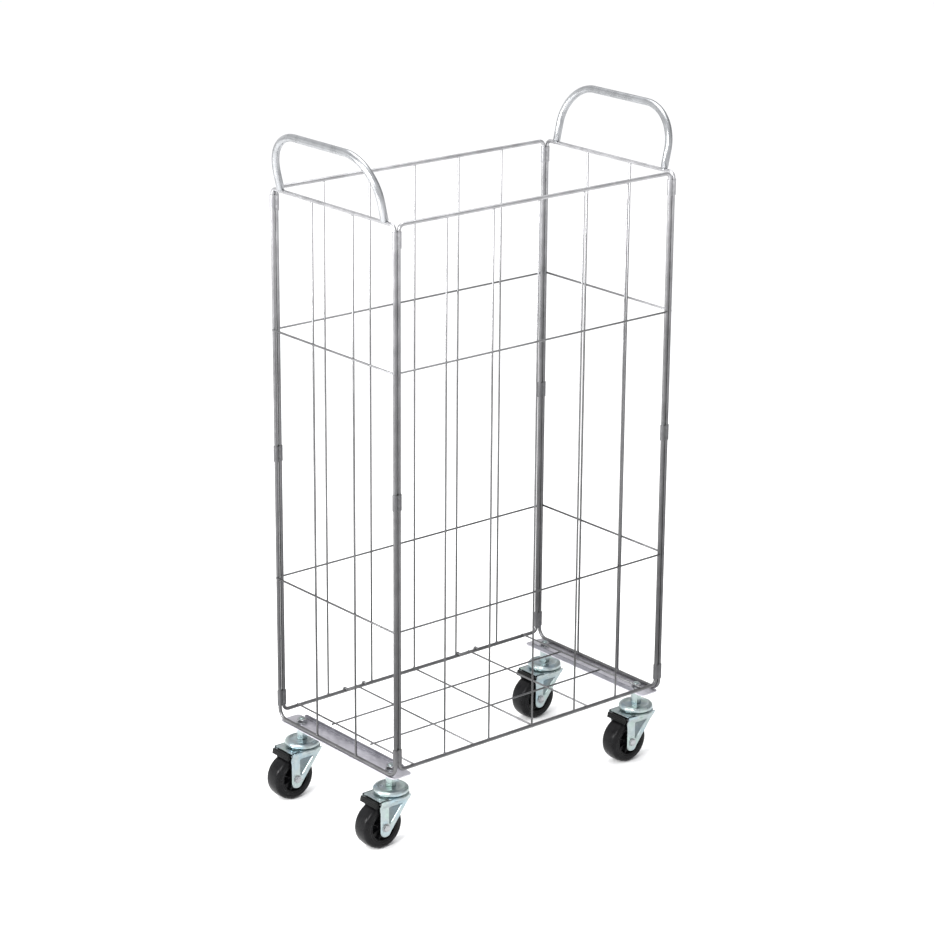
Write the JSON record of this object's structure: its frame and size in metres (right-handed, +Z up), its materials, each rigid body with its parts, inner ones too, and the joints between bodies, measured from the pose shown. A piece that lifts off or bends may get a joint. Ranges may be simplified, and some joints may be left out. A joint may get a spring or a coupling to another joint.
{
  "type": "wire laundry cart",
  "caption": "Tall slim wire cage cart on braked swivel casters, with a bent tube handle over each end and a lift-up floor grid.",
  "frame": {"origin": "on the floor under the middle of the overall box", "axes": "+X to the right along the long side, +Y to the back, +Z up"},
  "size_m": [0.8372, 0.4146, 1.4667],
  "materials": {
    "zinc_wire": "zinc plated drawn wire, semi-bright",
    "bright_zinc_tube": "bright zinc plated",
    "galvanised_sheet": "galvanised, satin with a faint spangle",
    "caster_zinc": "zinc plated pressing with a slight green-blue tint",
    "wheel_centre_black": "moulded nylon, gloss",
    "tread_black": "hard rubber, semi-gloss",
    "brake_black": "black enamel"
  },
  "bodies": {
    "frame": {"front_panel": "zinc_wire", "back_panel": "zinc_wire", "left_side_frame": "zinc_wire", "right_side_frame": "zinc_wire", "clip_front_left_bottom": "galvanised_sheet", "clip_front_left_middle": "galvanised_sheet", "clip_front_left_top": "galvanised_sheet", "clip_front_right_bottom": "galvanised_sheet", "clip_front_right_middle": "galvanised_sheet", "clip_front_right_top": "galvanised_sheet", "clip_back_left_bottom": "galvanised_sheet", "clip_back_left_middle": "galvanised_sheet", "clip_back_left_top": "galvanised_sheet", "clip_back_right_bottom": "galvanised_sheet", "clip_back_right_middle": "galvanised_sheet", "clip_back_right_top": "galvanised_sheet", "left_handle": "bright_zinc_tube", "right_handle": "bright_zinc_tube", "left_base_plate": "galvanised_sheet", "right_base_plate": "galvanised_sheet", "caster_front_left_stem": "caster_zinc", "caster_front_left_stem_nut": "bright_zinc_tube", "caster_front_left_swivel_cap": "caster_zinc", "caster_front_right_stem": "caster_zinc", "caster_front_right_stem_nut": "bright_zinc_tube", "caster_front_right_swivel_cap": "caster_zinc", "caster_back_left_stem": "caster_zinc", "caster_back_left_stem_nut": "bright_zinc_tube", "caster_back_left_swivel_cap": "caster_zinc", "caster_back_right_stem": "caster_zinc", "caster_back_right_stem_nut": "bright_zinc_tube", "caster_back_right_swivel_cap": "caster_zinc"},
    "floor_grid": {"floor_grid": "zinc_wire"},
    "caster_front_left_fork": {"caster_front_left_fork": "caster_zinc", "caster_front_left_axle": "bright_zinc_tube", "caster_front_left_brake_pin": "bright_zinc_tube"},
    "caster_front_left_wheel": {"caster_front_left_hub": "wheel_centre_black", "caster_front_left_tyre": "tread_black"},
    "caster_front_left_brake": {"caster_front_left_brake_pedal": "brake_black"},
    "caster_front_right_fork": {"caster_front_right_fork": "caster_zinc", "caster_front_right_axle": "bright_zinc_tube", "caster_front_right_brake_pin": "bright_zinc_tube"},
    "caster_front_right_wheel": {"caster_front_right_hub": "wheel_centre_black", "caster_front_right_tyre": "tread_black"},
    "caster_front_right_brake": {"caster_front_right_brake_pedal": "brake_black"},
    "caster_back_left_fork": {"caster_back_left_fork": "caster_zinc", "caster_back_left_axle": "bright_zinc_tube", "caster_back_left_brake_pin": "bright_zinc_tube"},
    "caster_back_left_wheel": {"caster_back_left_hub": "wheel_centre_black", "caster_back_left_tyre": "tread_black"},
    "caster_back_left_brake": {"caster_back_left_brake_pedal": "brake_black"},
    "caster_back_right_fork": {"caster_back_right_fork": "caster_zinc", "caster_back_right_axle": "bright_zinc_tube", "caster_back_right_brake_pin": "bright_zinc_tube"},
    "caster_back_right_wheel": {"caster_back_right_hub": "wheel_centre_black", "caster_back_right_tyre": "tread_black"},
    "caster_back_right_brake": {"caster_back_right_brake_pedal": "brake_black"}
  },
  "joints": [
    {"name": "floor_grid_lift", "type": "hinge", "parent": "frame", "child": "floor_grid", "pos_m": [0.01136, 0.19837, 0.182], "axis": [-1, 0, 0], "range_deg": [0, 85]},
    {"name": "caster_front_left_swivel", "type": "hinge", "parent": "frame", "child": "caster_front_left_fork", "pos_m": [-0.33464, -0.15563, 0.1157], "axis": [0, 0, 1], "continuous": true},
    {"name": "caster_front_left_wheel_spin", "type": "hinge", "parent": "caster_front_left_fork", "child": "caster_front_left_wheel", "pos_m": [-0.36864, -0.15563, 0.05], "axis": [0, 1, 0], "continuous": true},
    {"name": "caster_front_left_brake_press", "type": "hinge", "parent": "caster_front_left_fork", "child": "caster_front_left_brake", "pos_m": [-0.38064, -0.15563, 0.105], "axis": [0, -1, 0], "range_deg": [0, 12]},
    {"name": "caster_front_right_swivel", "type": "hinge", "parent": "frame", "child": "caster_front_right_fork", "pos_m": [0.35736, -0.15563, 0.1157], "axis": [0, 0, 1], "continuous": true},
    {"name": "caster_front_right_wheel_spin", "type": "hinge", "parent": "caster_front_right_fork", "child": "caster_front_right_wheel", "pos_m": [0.32336, -0.15563, 0.05], "axis": [0, 1, 0], "continuous": true},
    {"name": "caster_front_right_brake_press", "type": "hinge", "parent": "caster_front_right_fork", "child": "caster_front_right_brake", "pos_m": [0.31136, -0.15563, 0.105], "axis": [0, -1, 0], "range_deg": [0, 12]},
    {"name": "caster_back_left_swivel", "type": "hinge", "parent": "frame", "child": "caster_back_left_fork", "pos_m": [-0.33464, 0.15238, 0.1157], "axis": [0, 0, 1], "continuous": true},
    {"name": "caster_back_left_wheel_spin", "type": "hinge", "parent": "caster_back_left_fork", "child": "caster_back_left_wheel", "pos_m": [-0.36864, 0.15238, 0.05], "axis": [0, 1, 0], "continuous": true},
    {"name": "caster_back_left_brake_press", "type": "hinge", "parent": "caster_back_left_fork", "child": "caster_back_left_brake", "pos_m": [-0.38064, 0.15238, 0.105], "axis": [0, -1, 0], "range_deg": [0, 12]},
    {"name": "caster_back_right_swivel", "type": "hinge", "parent": "frame", "child": "caster_back_right_fork", "pos_m": [0.35736, 0.15238, 0.1157], "axis": [0, 0, 1], "continuous": true},
    {"name": "caster_back_right_wheel_spin", "type": "hinge", "parent": "caster_back_right_fork", "child": "caster_back_right_wheel", "pos_m": [0.32336, 0.15238, 0.05], "axis": [0, 1, 0], "continuous": true},
    {"name": "caster_back_right_brake_press", "type": "hinge", "parent": "caster_back_right_fork", "child": "caster_back_right_brake", "pos_m": [0.31136, 0.15238, 0.105], "axis": [0, -1, 0], "range_deg": [0, 12]}
  ]
}
